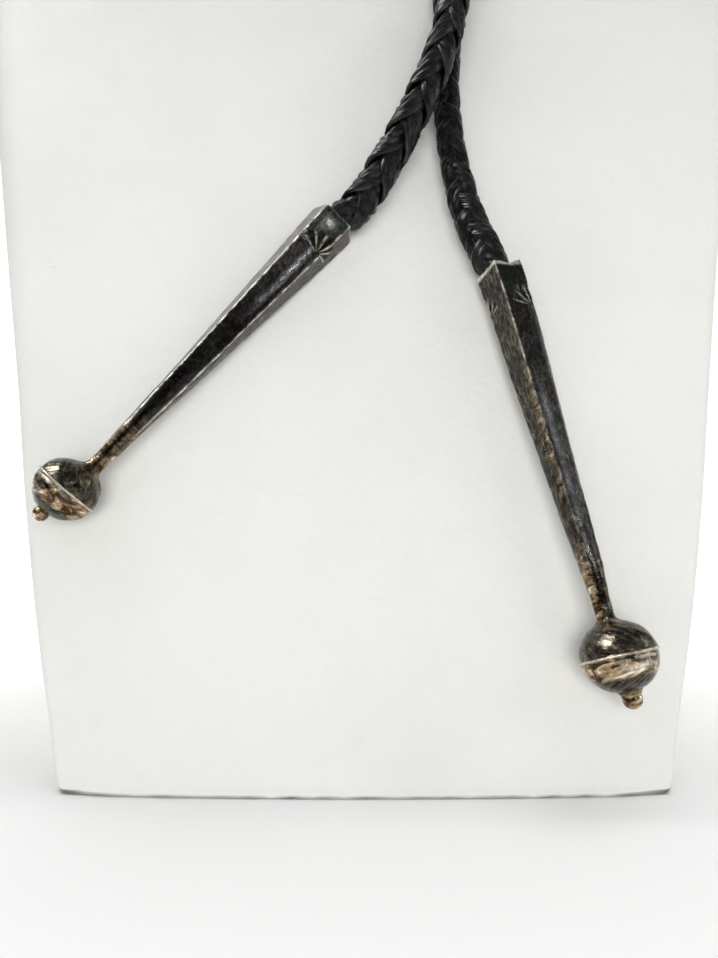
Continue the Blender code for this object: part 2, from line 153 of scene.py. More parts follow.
class Shading:
    # Node tree of a material or world; a slot takes a number, a tuple or another node's output
    def __init__(self, owner, shader="Principled BSDF"):
        owner.use_nodes = True
        self.owner = owner
        self.nodes, self.links = owner.node_tree.nodes, owner.node_tree.links
        self.shader = self.nodes[shader]

    def put(self, slot, value):
        if isinstance(value, bpy.types.NodeSocket):
            self.links.new(value, slot)
        elif isinstance(value, tuple):
            slot.default_value = (*value, 1.0)[:len(slot.default_value)]
        else:
            slot.default_value = value

    def set(self, looks):
        for key, value in looks.items():
            self.put(self.shader.inputs[key], value)

    def node(self, kind, output, slots, **settings):
        node = self.nodes.new("ShaderNode" + kind)
        for key, value in settings.items():
            setattr(node, key, value)
        for key, value in slots.items():
            self.put(node.inputs[key], value)
        return node.outputs[output]

    def objectPlace(self):
        return self.node("TexCoord", "Object", {})

    def layPlace(self):
        return self.node("UVMap", "UV", {}, uv_map="lay")

    def attribute(self, name):
        return self.node("Attribute", "Fac", {}, attribute_name=name)

    def along(self, axis, place):
        return self.node("SeparateXYZ", axis, {"Vector": place})

    def stretched(self, place, scale, centre=(0, 0, 0)):
        return self.node("Mapping", "Vector", {"Vector": place, "Scale": scale, "Location": centre})

    def noise(self, place, scale, detail=3.0, roughness=0.5, distortion=0.0):
        return self.node("TexNoise", "Fac", {"Vector": place, "Scale": scale, "Detail": detail,
                                             "Roughness": roughness, "Distortion": distortion})

    def curve(self, value, low, high, toLow=0.0, toHigh=1.0):
        # S-shaped change from toLow to toHigh while the value goes from low to high
        return self.node("MapRange", "Result", {"Value": value, "From Min": low, "From Max": high,
                                                "To Min": toLow, "To Max": toHigh},
                         interpolation_type="SMOOTHSTEP")

    def calc(self, how, first, second):
        return self.node("Math", "Value", {0: first, 1: second}, operation=how)

    def blend(self, share, first, second):
        return self.node("Mix", 2, {0: share, 6: first, 7: second}, data_type="RGBA")

    def bump(self, height, strength, distance, under=None):
        slots = {"Height": height, "Strength": strength, "Distance": distance}
        if under is not None:
            slots["Normal"] = under
        return self.node("Bump", "Normal", slots)


# Camera

cameraPlan = {"place": (-0.0008, -0.17768, 0.0459), "focalPixels": 719.0, "longSide": 958.0}


def makeCamera():
    data = bpy.data.cameras.new("camera")
    data.sensor_width = 36.0
    data.lens = cameraPlan["focalPixels"] / cameraPlan["longSide"] * data.sensor_width
    data.clip_start = 0.005
    data.clip_end = 20.0
    camera = bpy.data.objects.new("camera", data)
    camera.location = cameraPlan["place"]
    camera.rotation_euler = (pi / 2, 0.0, 0.0)
    bpy.context.collection.objects.link(camera)
    bpy.context.scene.camera = camera


makeCamera()
print("camera placed")


# Tip frames: the ball's middle, and the directions across, towards the bust and up the stem

tipPlan = {
    "left": {
        "ball": (-0.04712, -0.0638, 0.0443), "across": (0.76395, -0.21449, -0.60858),
        "back": (0.01992, 0.95053, -0.31), "up": (0.64496, 0.2247, 0.73043),
        "length": 0.0657, "ballRadius": 0.00512, "squash": 0.96, "ballOffset": -0.0007,
        "nubRadius": 0.00125, "nubReach": 0.0053, "nubShift": (-0.0002, 0.0),
        "nubFoot": 1.10, "nubTop": 62.0,
        "mouth": ((-0.98, 0.20), (-0.26, -0.62), (0.68, -0.20), (0.60, 0.80)),
        "fans": ((2, 0.0083, 0.0044, -0.0007), (1, 0.0082, 0.0020, 0.0)), "rimWear": 0.50,
        "rimGap": 0.0, "swell": 0.60, "swellEnd": (0.015, 0.028),
        # spot, streak and band, and the side strip after them, set painted highlights and painted
        # reflections on the stem
        "spot": 0.9, "streak": 1.0, "band": 0.0, "sidePale": 0.50, "rust": 0.0, "ridgeFade": 1.0,
        "mottle": (1.0, 0.15),    # on the side face and on the front face
        # The next entry holds painted highlights on the ball's lower half: place down it, spread down it,
        # facing, spread round it, amount
        "rubs": ((0.07, 0.05, -1.9, 0.7, 1.0), (0.34, 0.05, -2.2, 0.35, 0.8)),
        "rim": ((-1.97, -0.0002), (-0.29, -0.0001), (0.93, 0.0001), (2.94, 0.0)),
        "fullness": (
            # place, widening, shift aside
            (0.00, 1.00, 0.0), (0.10, 1.08, 0.0), (0.23, 1.13, 0.0), (0.34, 1.14, 0.0),
            (0.45, 1.11, -0.00005), (0.56, 1.09, -0.00012), (0.78, 1.08, -0.00017),
            (0.89, 1.075, -0.00022), (1.00, 1.075, -0.00027),
        ),
    },
    "right": {
        "ball": (0.0374, -0.07205, 0.0199), "across": (0.97828, 0.09137, 0.18608),
        "back": (-0.02786, 0.94743, -0.31876), "up": (-0.20542, 0.30665, 0.92939),
        "length": 0.0670, "ballRadius": 0.00562, "squash": 0.94, "ballOffset": 0.0002,
        "nubRadius": 0.0014, "nubReach": 0.0062, "nubShift": (0.0, 0.0),
        "nubFoot": 1.75, "nubTop": 78.0,
        "mouth": ((-0.72, 0.35), (-0.36, -0.80), (0.72, -0.37), (0.35, 0.74)),
        "fans": ((2, 0.0086, 0.0046, -0.0003), (0, 0.0078, 0.0034, 0.0)), "rimWear": 1.0,
        "rimGap": 0.0004, "swell": 0.84, "swellEnd": (0.034, 0.046),
        "spot": 0.0, "streak": 0.50, "band": 0.60, "sidePale": 0.0, "rust": 0.75, "ridgeFade": 0.35,
        "mottle": (0.8, 0.30),
        # The next entry holds painted highlights on the ball's lower half: place down it, spread down it,
        # facing, spread round it, amount
        "rubs": ((0.09, 0.04, -1.2, 0.55, 0.9), (0.30, 0.075, -1.45, 0.42, 1.0)),
        "rim": ((-1.99, 0.0), (-1.5, -0.0001), (-1.2, -0.00030), (-0.9, 0.0), (-0.475, 0.0007),
                (1.13, 0.0002), (2.69, 0.0002)),
        "fullness": (
            (0.00, 1.00, 0.0), (0.06, 1.08, 0.0001), (0.12, 1.17, 0.0002), (0.23, 1.18, 0.0001),
            (0.34, 1.145, 0.00007), (0.45, 1.11, 0.00008), (0.56, 1.11, 0.00012),
            (0.67, 1.115, 0.00016), (0.78, 1.085, 0.00026), (0.89, 1.035, 0.00030),
            (1.00, 1.035, 0.00012),
        ),
    },
}
tipReach = 0.0050             # from the stem's axis to the mouth's farthest corner
tipWall = 0.0006
socketTaper = 0.085           # the socket's reach shrinks by its depth over this length
stemEndRadius = 0.00133


def tipAxes(side):
    plan = named(tipPlan[side])
    return np.array([plan.across, plan.back, plan.up]), np.array(plan.ball)


def outlineReach(corners, angles, sharpness):
    # Reach of a rounded polygon at each angle: with side distances d and side directions n, the
    # inverse of the p-norm of cos(angle - n) / d over the sides, so a high p gives crisp corners
    corners = np.asarray(corners, float)
    after = np.roll(corners, -1, 0)
    along = unit(after - corners)
    normal = np.stack([along[:, 1], -along[:, 0]], -1)
    distance = (corners * normal).sum(-1)
    facing = np.cos(angles[:, None] - np.arctan2(normal[:, 1], normal[:, 0])[None, :])
    return ((np.maximum(facing, 0.0) / distance) ** sharpness).sum(-1) ** (-1.0 / sharpness)


# Cord: a round braid of four flat laces along the route of the CAD cord

cordPlan = {
    "route": (
        # x, y, z, thickness as a share of the diameter
        (-0.0079, -0.0502, 0.0885, 1.00), (-0.0042, -0.0490, 0.0921, 1.14),
        (0.0001, -0.0484, 0.0964, 1.17), (0.0053, -0.0468, 0.1054, 1.15),
        (0.0096, -0.0462, 0.1138, 1.13), (0.0134, -0.0451, 0.1226, 1.13),
        (0.0161, -0.0429, 0.1312, 1.12), (0.0176, -0.0404, 0.1390, 1.10),
        (0.0200, -0.0366, 0.1490, 1.04), (0.0216, -0.0310, 0.1600, 1.00),
        (0.0220, -0.0239, 0.1773, 1.00), (0.0219, -0.0178, 0.1974, 1.00),
        (0.0217, -0.0118, 0.2176, 1.00), (0.0262, -0.0052, 0.2366, 1.00),
        (0.0332, -0.0022, 0.2554, 1.00), (0.0415, 0.0012, 0.2759, 1.00),
        (0.0460, 0.0085, 0.2955, 1.00), (0.0545, 0.0310, 0.3064, 1.00),
        (0.0463, 0.0558, 0.3100, 1.00), (0.0249, 0.0712, 0.3125, 1.00),
        (0.0000, 0.0749, 0.3144, 1.00), (-0.0249, 0.0712, 0.3125, 1.00),
        (-0.0463, 0.0558, 0.3100, 1.00), (-0.0545, 0.0310, 0.3064, 1.00),
        (-0.0460, 0.0085, 0.2955, 1.00), (-0.0322, 0.0003, 0.2765, 1.00),
        (-0.0151, -0.0027, 0.2554, 1.00), (0.0010, -0.0057, 0.2366, 1.00),
        (0.0133, -0.0120, 0.2176, 1.00), (0.0134, -0.0180, 0.1974, 1.00),
        (0.0135, -0.0241, 0.1773, 1.00), (0.0152, -0.0294, 0.1560, 0.97),
        (0.0168, -0.0330, 0.1410, 0.95), (0.0166, -0.0363, 0.1307, 0.95),
        (0.0160, -0.0388, 0.1222, 0.94), (0.0161, -0.0416, 0.1131, 0.93),
        (0.0171, -0.0444, 0.1035, 0.95), (0.0190, -0.0478, 0.0934, 1.04),
        (0.0230, -0.0514, 0.0824, 1.12), (0.0245, -0.0530, 0.0775, 1.00),
    ),
    "diameter": 0.0060,
    "turnLeft": 0.0163,       # a lace's full turn round the cord near the left tip
    "turnRight": 0.0136,
    "turnStart": 0.9,         # where the laces' turn starts, in radians
    "rollLeft": -45.0,        # degrees by which the braid is rolled from the viewer's side
    "rollRight": 45.0,
    "middleRadius": 0.00168,
    "weave": 0.00042,         # rise and fall of a lace over and under the others
    "laceWidth": 0.0049,
    "laceThickness": 0.00115,
    "crown": 0.00030,
    "shingle": 0.00056,       # how far a lace's lower edge stands proud
    "bunching": 0.20,         # how much straighter a lace runs where it is on top
    "join": 0.118,            # where, inside the slide, the finely made front ends stop
    "overlap": 0.001,
    "fineRows": 216, "coarseRows": 372,
    "fineTop": 32, "coarseTop": 9, "underPoints": 10,
    "meanRadius": 0.0025,
    "creases": ((-0.50, 0.00042, 51), (0.02, 0.00056, 91), (0.48, 0.00048, 131)),
    "creaseWidth": 0.13,      # with the places above, as a share of half the lace's width
}


def cordLine():
    # Places along the cord, its points, its thickness, and a frame whose first direction faces
    # out of the bust's front and, round the neck, away from the neck
    fine = smoothLine(cordPlan["route"], 60)
    steps = np.linalg.norm(np.diff(fine[:, :3], axis=0), axis=1)
    travelled = np.r_[0.0, np.cumsum(steps)]
    length = travelled[-1]
    place = np.linspace(0.0, length, 1400)
    rows = np.stack([np.interp(place, travelled, fine[:, n]) for n in range(4)], -1)
    points, share = rows[:, :3], rows[:, 3]
    along = unit(np.gradient(points, place, axis=0))
    toViewer = unit(np.array(cameraPlan["place"]) - points)
    fromNeck = unit((points - np.array([0.0, 0.030, 0.0])) * np.array([1.0, 1.0, 0.0])
                    + np.array([0.0, 0.0, 0.02]))
    neck = ramp(0.200, 0.262, points[:, 2])[:, None]
    outward = mix(toViewer, fromNeck, neck)
    outward = unit(outward - (outward * along).sum(-1, keepdims=True) * along)
    aside = np.cross(along, outward)
    return place, points, share, outward, aside, along


def fitMouths(points):
    # Near each mouth a point's reach from the stem's axis is cut to the mouth's inner outline
    for side in ("left", "right"):
        plan = named(tipPlan[side])
        axes, ball = tipAxes(side)
        local = (points - ball) @ axes.T
        above = local[..., 2] - plan.length
        local[..., 0] -= plan.fullness[-1][2]
        angle = np.arctan2(local[..., 1], local[..., 0])
        reach = np.hypot(local[..., 0], local[..., 1])
        corners = np.array(plan.mouth) * tipReach
        table = np.linspace(-pi, pi, 721)
        inner = outlineReach(corners, table, 14.0) - tipWall - 0.00012
        widening, shift = plan.fullness[-1][1:]
        inner = np.interp(angle, table, inner) * widening
        inner = inner * (1.0 + np.minimum(above, 0.0) / socketTaper)
        near = (np.abs(above) < 0.012) & (reach < 0.010)
        squeeze = np.where(near, 1.0 - ramp(0.0001, 0.0013, above), 0.0)
        held = mix(reach, np.minimum(reach, inner), squeeze)
        scale = held / np.maximum(reach, 1e-9)
        local[..., 0] *= scale
        local[..., 1] *= scale
        local[..., 0] += shift
        points = np.where(near[..., None], local @ axes + ball, points)
    return points


def makeCord(material):
    plan = named(cordPlan)
    place, line, share, outward, aside, along = cordLine()
    length = place[-1]
    travel = place / length
    turn = mix(plan.turnLeft, plan.turnRight, ramp(0.18, 0.82, travel))
    steps = np.diff(place)
    phase = plan.turnStart + np.r_[0.0, np.cumsum(2 * pi * steps / (0.5 * (turn[1:] + turn[:-1])))]
    roll = np.radians(mix(plan.rollLeft, plan.rollRight, ramp(0.2, 0.8, travel)))
    join, mean = plan.join, plan.meanRadius
    stretches = ((0.0, join + plan.overlap, plan.fineRows, plan.fineTop),
                 (join, length - join, plan.coarseRows, plan.coarseTop),
                 (length - join - plan.overlap, length, plan.fineRows, plan.fineTop))
    pointSets, uvSets, edgeSets, faces = [], [], [], []
    first = 0
    for begin, end, rows, topPoints in stretches:
        row = np.linspace(begin, end, rows)
        rowPhase, rowTurn = np.interp(row, place, phase), np.interp(row, place, turn)
        rowShare = np.interp(row, place, share)
        # Lace section: the height is half the thickness times (1 - edge^2)^0.25 on top and
        # -(1 - edge^2)^0.4 below; edge runs from -1 to 1 across the lace
        topEdge = np.cos(np.linspace(0, pi, topPoints))
        underEdge = np.cos(np.linspace(pi, 2 * pi, plan.underPoints))[1:-1]
        across01 = np.r_[topEdge, underEdge]
        raised = np.r_[(1 - topEdge ** 2) ** 0.25, -(1 - underEdge ** 2) ** 0.4]
        top = np.r_[np.ones(topPoints), np.zeros(len(underEdge))]
        section = len(across01)
        for lace in range(4):
            sense = 1.0 if lace < 2 else -1.0
            start = pi * (lace % 2)
            # Angle round the cord: t - b sin 2t for laces that wind one way, -(t + b sin 2t) for
            # the others, so each runs straighter where it is on top
            turned = sense * rowPhase - plan.bunching * np.sin(2 * rowPhase) + start
            slant = 2 * pi * mean / rowTurn * (1 - sense * 2 * plan.bunching
                                                    * np.cos(2 * rowPhase))
            tilt = np.arctan(slant * rowShare)
            half = plan.laceWidth / 2 * rowShare * (1 + 0.07 * wander(row, 31 + lace, 0.014))
            across = half[:, None] * across01[None, :]
            sideways = across * np.cos(tilt)[:, None] / (mean * rowShare[:, None])
            shifted = np.clip(row[:, None] - sense * across * np.sin(tilt)[:, None], 0.0, length)
            angle = turned[:, None] + 0.10 * wander(row, 11 + lace, 0.021)[:, None] + sideways
            over = sense * np.cos(2 * angle)
            edge = np.broadcast_to(across01[None, :], across.shape)
            creases = sum(
                depth * np.clip(0.60 + 0.80 * wander(row, seed + lace, 0.015), 0, 1.2)[:, None]
                * bell(edge + 0.12 * wander(row, seed + 20 + lace, 0.012)[:, None], middle,
                       plan.creaseWidth)
                for middle, depth, seed in plan.creases)
            height = (plan.laceThickness / 2 * raised[None, :]
                      + plan.crown * (1 - edge ** 2)
                      + plan.shingle * sense * edge
                      + 0.00006 * wander(row, 41 + lace, 0.009)[:, None]
                      - top * creases)
            radius = rowShare[:, None] * (plan.middleRadius + plan.weave * over + height)
            spot, out, beside = (
                np.stack([np.interp(shifted, place, column) for column in part.T], -1)
                for part in (line, outward, aside))
            rolled = (angle + np.interp(shifted, place, roll))[..., None]
            points = fitMouths(spot + radius[..., None] * (np.cos(rolled) * unit(out)
                                                           + np.sin(rolled) * unit(beside)))
            pointSets += [points.reshape(-1, 3), points[:1].mean(1), points[-1:].mean(1)]
            uvRows = together(row[:, None] + 0.171 * lace, across)
            uvSets += [uvRows.reshape(-1, 2), uvRows[:1].mean(1), uvRows[-1:].mean(1)]
            steep = np.abs(np.gradient(creases, axis=1)) / 0.00008
            worn = np.clip(np.abs(edge) ** 8 + 0.25 * steep, 0, 1)
            edgeSets += [(worn * top).ravel(), [0.0], [0.0]]
            faces += closedFaces(rows, section, first, inward=True)
            first += rows * section + 2
    piece = buildPiece("braided_cord", np.vstack(pointSets), faces, material,
                       uv=np.vstack(uvSets), marks={"edge": np.concatenate(edgeSets)})
    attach(piece, body)
    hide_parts("cord")


leatherLook = {"colour": (0.0035, 0.0035, 0.0040), "worn": (0.050, 0.048, 0.050), "roughness": 0.25}


def blackLeather():
    # Black lace leather: fine cross wrinkles, soft mottling and greyer worn edges
    look, m = named(leatherLook), Shading(bpy.data.materials.new("black_lace_leather"))
    place, spot = m.layPlace(), m.objectPlace()
    wrinkle = m.noise(m.stretched(place, (2600, 420, 1)), 1.0, 3.0, 0.6, 0.6)
    folds = m.noise(m.stretched(place, (75, 1150, 1)), 1.0, 1.5, 0.45, 0.2)
    grain = m.noise(spot, 5200.0, 3.0, 0.6)
    mottle = m.noise(spot, 420.0, 4.0, 0.6)
    worn = m.calc("MULTIPLY", m.attribute("edge"), m.curve(mottle, 0.42, 0.68))
    scuffed = m.calc("MULTIPLY", m.curve(wrinkle, 0.60, 0.76), m.curve(mottle, 0.46, 0.74, 0.0, 0.22))
    normal = m.bump(wrinkle, 0.35, 0.00012, m.bump(folds, 0.90, 0.00060))
    m.set({"Base Color": m.blend(m.calc("ADD", worn, scuffed), look.colour, look.worn),
           "Roughness": m.curve(mottle, 0.3, 0.75, look.roughness, look.roughness + 0.16),
           "Specular IOR Level": 0.23, "Normal": m.bump(grain, 0.25, 0.00004, normal)})
    return m.owner


makeCord(blackLeather())


# Neck bust: padded leatherette over a form

bustPlan = {
    "height": 0.375, "shoulderHeight": 0.235, "baseWidth": 0.0912, "shoulderWidth": 0.200,
    "neckWidth": 0.083, "baseDepth": 0.100, "shoulderDepth": 0.048, "neckDepth": 0.062,
    "lean": 0.30, "neckSetback": 0.018, "chestBulge": 0.0085, "baseBulge": 0.0013,
    "edge": 0.0014, "frontY": -0.07225, "footSlim": 0.014, "slack": 0.00022,
    "torso": (
        # height, flare, thinning, rounding
        (0.000, 0.000, 0.00, 0.00), (0.030, 0.046, 0.06, 0.00), (0.094, 0.132, 0.13, 0.01),
        (0.183, 0.228, 0.25, 0.02), (0.268, 0.311, 0.36, 0.04), (0.420, 0.474, 0.55, 0.09),
        (0.617, 0.675, 0.77, 0.18), (0.809, 0.860, 0.94, 0.30), (0.930, 0.965, 1.00, 0.42),
        (1.000, 1.000, 1.00, 0.52),
    ),
    "neck": (
        # height, width, setback, deepening, bulge, rounding
        (0.10, 0.985, 0.10, 0.06, 0.85, 0.60), (0.20, 0.900, 0.20, 0.20, 0.65, 0.69),
        (0.29, 0.700, 0.30, 0.42, 0.48, 0.76), (0.37, 0.440, 0.38, 0.66, 0.36, 0.82),
        (0.45, 0.220, 0.46, 0.86, 0.28, 0.86), (0.55, 0.070, 0.56, 0.97, 0.22, 0.89),
        (0.70, 0.000, 0.70, 1.00, 0.20, 0.90), (0.86, 0.010, 0.86, 1.00, 0.20, 0.90),
        (0.97, 0.020, 0.97, 1.00, 0.20, 0.90), (1.00, -0.050, 1.00, 0.80, 0.20, 0.90),
    ),
}


def bustRows():
    # Height, half width, front, depth, bulge and rounding of each level section
    plan = named(bustPlan)
    rows = []
    for height, flare, thinning, rounding in plan.torso:
        z = height * plan.shoulderHeight
        slim = 1 - plan.footSlim * (1 - float(ramp(0.10, 0.20, z)))
        rows.append((z, mix(plan.baseWidth, plan.shoulderWidth, flare) / 2 * slim,
                     plan.frontY + plan.lean * z,
                     mix(plan.baseDepth, plan.shoulderDepth, thinning),
                     mix(plan.baseBulge, plan.chestBulge, height ** 2), rounding))
    rise = plan.height - plan.shoulderHeight
    shoulderFront = plan.frontY + plan.lean * plan.shoulderHeight
    for height, width, setback, deepening, bulge, rounding in plan.neck:
        rows.append((plan.shoulderHeight + height * rise,
                     mix(plan.neckWidth, plan.shoulderWidth, width) / 2,
                     shoulderFront + setback * plan.neckSetback,
                     mix(plan.shoulderDepth, plan.neckDepth, deepening),
                     plan.chestBulge * bulge, rounding))
    return rows


def bustOutlines(rows):
    # Level outlines, one row of points for each section: a front that falls back by bulge times
    # (x / half width)^2, quarter-ellipse corners and a flat back, mirrored in x
    z, half, front, depth, bulge, rounding = (rows[:, n, None] for n in range(6))
    cornerX = mix(bustPlan["edge"], half, rounding)
    cornerY = mix(bustPlan["edge"], depth / 2, rounding)
    flat = half - cornerX
    frontCorner = front + bulge * (flat / half) ** 2 + cornerY
    back = front + depth
    t = np.linspace(0, 1, 30)[None, :-1]
    frontX, frontY = flat * t, front + bulge * (flat * t / half) ** 2
    turn = np.linspace(0, pi / 2, 16)[None, :]
    cornerFrontX, cornerFrontY = flat + cornerX * np.sin(turn), frontCorner - cornerY * np.cos(turn)
    rise = np.linspace(0, 1, 10)[None, 1:-1]
    sideX = half + 0 * rise
    sideY = mix(frontCorner, back - cornerY, rise)
    cornerBackX, cornerBackY = flat + cornerX * np.cos(turn), back - cornerY * (1 - np.sin(turn))
    t = np.linspace(1, 0, 16)[None, 1:]
    backX, backY = flat * t, back + 0 * t
    x = np.concatenate([frontX, cornerFrontX, sideX, cornerBackX, backX], 1)
    y = np.concatenate([frontY, cornerFrontY, sideY, cornerBackY, backY], 1)
    x = np.concatenate([x, -x[:, -2:0:-1]], 1)
    y = np.concatenate([y, y[:, -2:0:-1]], 1)
    return together(x, y, z)


hemPlan = {
    "sections": (0.0, 0.00010, 0.00019, 0.00021, 0.00025, 0.00033, 0.00045, 0.00060, 0.00072, 0.00082,
                 0.00092, 0.0014, 0.0020, 0.0028, 0.0038, 0.0050, 0.0064, 0.0080, 0.0100, 0.0125),
    "boardTop": 0.0002, "boardSetback": 0.0026,
    "lipPlace": 0.00055, "lipHalf": 0.00036, "lipProud": 0.00016,
    "cornerDraw": 0.0009, "cornerHeight": 0.0024, "push": 0.0027, "pushHeight": 0.006,
}


def makeBust(material):
    hem = named(hemPlan)
    rows = smoothLine(bustRows(), 10)
    # Closer sections by the turned hem at the foot
    lift = np.array(hem.sections)
    foot = np.stack([np.interp(lift, rows[:, 0], rows[:, k]) for k in range(6)], -1)
    rows = np.vstack([foot, rows[rows[:, 0] > lift[-1] + 0.001]])
    points = bustOutlines(rows)
    x, z = points[..., 0].copy(), points[..., 2].copy()
    middle = np.stack([np.zeros(len(rows)), rows[:, 2] + rows[:, 3] / 2, rows[:, 0]], -1)[:, None, :]
    away = unit((points - middle) * np.array([1.0, 1.0, 0.0]) + np.array([0.0, 1e-6, 0.0]))
    # Turned hem: a lip of half-ellipse section over a set-back board, its bottom corners drawn in by
    # draw times (1 - z / height)^2, and the front's foot pushed forward by push times e^(-z / height)
    lip = np.sqrt(np.clip(1 - ((z - hem.lipPlace) / hem.lipHalf) ** 2, 0, 1))
    onBoard = z < hem.boardTop
    cornerNear = ramp(0.036, 0.0455, np.abs(x))
    offset = np.where(onBoard, -hem.boardSetback, hem.lipProud * lip)
    offset = offset - hem.cornerDraw * np.clip(1 - z / hem.cornerHeight, 0, 1) ** 2 * cornerNear
    offset = offset + bustPlan["slack"] * wander(x + 0.35 * z, 5, 0.07) * ramp(0.0, 0.02, z)
    # Painted contact shade: the board under the bust and the lip's lower edge are darkened, more at the
    # drawn-in corners, where the bust meets the floor
    soil = np.clip(onBoard + (1 - ramp(0.00030, 0.00058, z - 0.00028 * cornerNear))
                   * (0.55 + 0.45 * cornerNear + 0.30 * wander(x, 71, 0.011)), 0, 1)
    frontShare = 1 - ramp(0.006, 0.040, points[..., 1] - rows[:, 2][:, None])
    points[..., 1] -= hem.push * np.exp(-z / hem.pushHeight) * frontShare
    points = points + away * offset[..., None]
    count, top = points.shape[1], bustPlan["height"]
    # Cap of the neck: rings that close in on its middle, domed by 0.6 mm times 1 - share^4
    shares = np.array([0.97, 0.90, 0.75, 0.50, 0.25])
    last, centre, under = points[-1], points[-1].mean(0), points[0].mean(0)
    caps = np.stack([centre + (last - centre) * share for share in shares])
    caps[..., 2] = top - 0.0006 + 0.0006 * (1 - shares[:, None] ** 4)
    points[-1, :, 2] = top - 0.0012
    floors = np.stack([under + (points[0] - under) * share for share in (0.5, 0.97)])
    floors[..., 2] = 0.0
    every = np.concatenate([floors, points, caps])
    ends = [under * [1, 1, 0], [centre[0], centre[1], top]]
    soil = np.r_[np.ones(2 * count), soil.ravel(), np.zeros(len(caps) * count), 1.0, 0.0]
    piece = buildPiece("bust_skin", np.vstack([every.reshape(-1, 3), ends]),
                       closedFaces(len(every), count), material, marks={"soil": soil})
    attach(piece, body)
    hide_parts("neck_bust")
    print("bust covered")


leatheretteLook = {
    "colour": (0.80, 0.795, 0.765), "shaded": (0.72, 0.725, 0.69), "speck": (0.16, 0.15, 0.13),
    "soil": (0.060, 0.055, 0.035), "roughness": 0.52,
}


def whiteLeatherette():
    # Off-white pebbled leatherette with faint stains, rare dark specks and painted contact shade along the
    # foot and under it
    look, m = named(leatheretteLook), Shading(bpy.data.materials.new("white_leatherette"))
    spot = m.objectPlace()
    pebble = m.node("TexVoronoi", "Distance", {"Vector": spot}, feature="SMOOTH_F1")
    pebble.node.inputs["Scale"].default_value = 900.0
    pebble.node.inputs["Smoothness"].default_value = 0.6
    fine = m.noise(spot, 1700.0, 3.0, 0.6)
    sag = m.noise(m.stretched(spot, (32, 32, 9)), 1.0, 2.0)
    stain = m.noise(spot, 26.0, 4.0, 0.55)
    cells = m.node("TexVoronoi", "Distance", {"Vector": spot, "Scale": 95.0})
    chance = m.node("TexWhiteNoise", "Value", {"Vector": cells.node.outputs["Position"]})
    speck = m.calc("MULTIPLY", m.curve(cells, 0.020, 0.045, 1.0, 0.0),
                   m.calc("GREATER_THAN", chance, 0.90))
    # Darker tone in the faint stains and between the pebbles of the grain
    tone = m.blend(m.curve(stain, 0.35, 0.75, 0.0, 0.55), look.colour, look.shaded)
    tone = m.blend(m.curve(pebble, 0.55, 0.95, 0.0, 0.20), tone, look.shaded)
    tone = m.blend(m.calc("MULTIPLY", speck, 0.55), tone, look.speck)
    # Painted contact shade along the foot
    tone = m.blend(m.calc("MULTIPLY", m.attribute("soil"), 0.90), tone, look.soil)
    normal = m.bump(pebble, 0.50, 0.00018, m.bump(sag, 0.35, 0.0020))
    m.set({"Base Color": tone, "Specular IOR Level": 0.10,
           "Roughness": m.curve(fine, 0.3, 0.7, look.roughness - 0.06, look.roughness + 0.08),
           "Normal": m.bump(fine, 0.25, 0.00007, normal)})
    return m.owner


makeBust(whiteLeatherette())


# Tips: hollow four-sided stems with stamped fans, two-part balls, seam flanges and nubs

stemRows = (
    # place from the ball (0) to the mouth (1), growth, roundness
    (0.03, 0.00, 1.00), (0.10, 0.06, 0.92), (0.22, 0.19, 0.60), (0.36, 0.33, 0.36),
    (0.50, 0.48, 0.22), (0.66, 0.645, 0.12), (0.82, 0.82, 0.06), (0.93, 0.94, 0.03),
    (1.00, 1.00, 0.02),
)
tipDetail = {
    "sidePoints": 40, "seamAngle": 87.5, "flangeProud": 0.00028, "flangeThickness": 0.00022,
    "neckFillet": 0.0009, "socketDepth": 0.0062, "fanDepth": 0.00034,
    "fanStrokes": 6, "swellHeight": 0.00016, "ridgeWidth": 0.00021,
    "fineReach": 0.0128,      # from the mouth to where the stem's sections grow wider apart
    "socketRows": 14, "filletRows": 7, "arcRows": 34, "footRows": 4, "nubRows": 18,
}


def fanStamp(toMouth, aside, size):
    # Depth of a stamped half sun: petals that open towards the mouth, as the clipped cosine of
    # the angle times the number of petals, between an inner and an outer radius; and the raised
    # lines between the petals, from the same cosine turned over
    reach = np.hypot(toMouth, aside)
    angle = np.arctan2(aside, toMouth)
    wave = np.cos(angle * 2 * tipDetail["fanStrokes"])
    window = ramp(0.0002, 0.0009, reach) * (1 - ramp(size * 0.60, size, reach))
    window = window * (1 - ramp(1.30, 1.50, np.abs(angle)))
    return window * np.clip(0.5 + 0.9 * wave, 0, 1), window * np.clip(-2.2 * wave - 1.0, 0, 1)


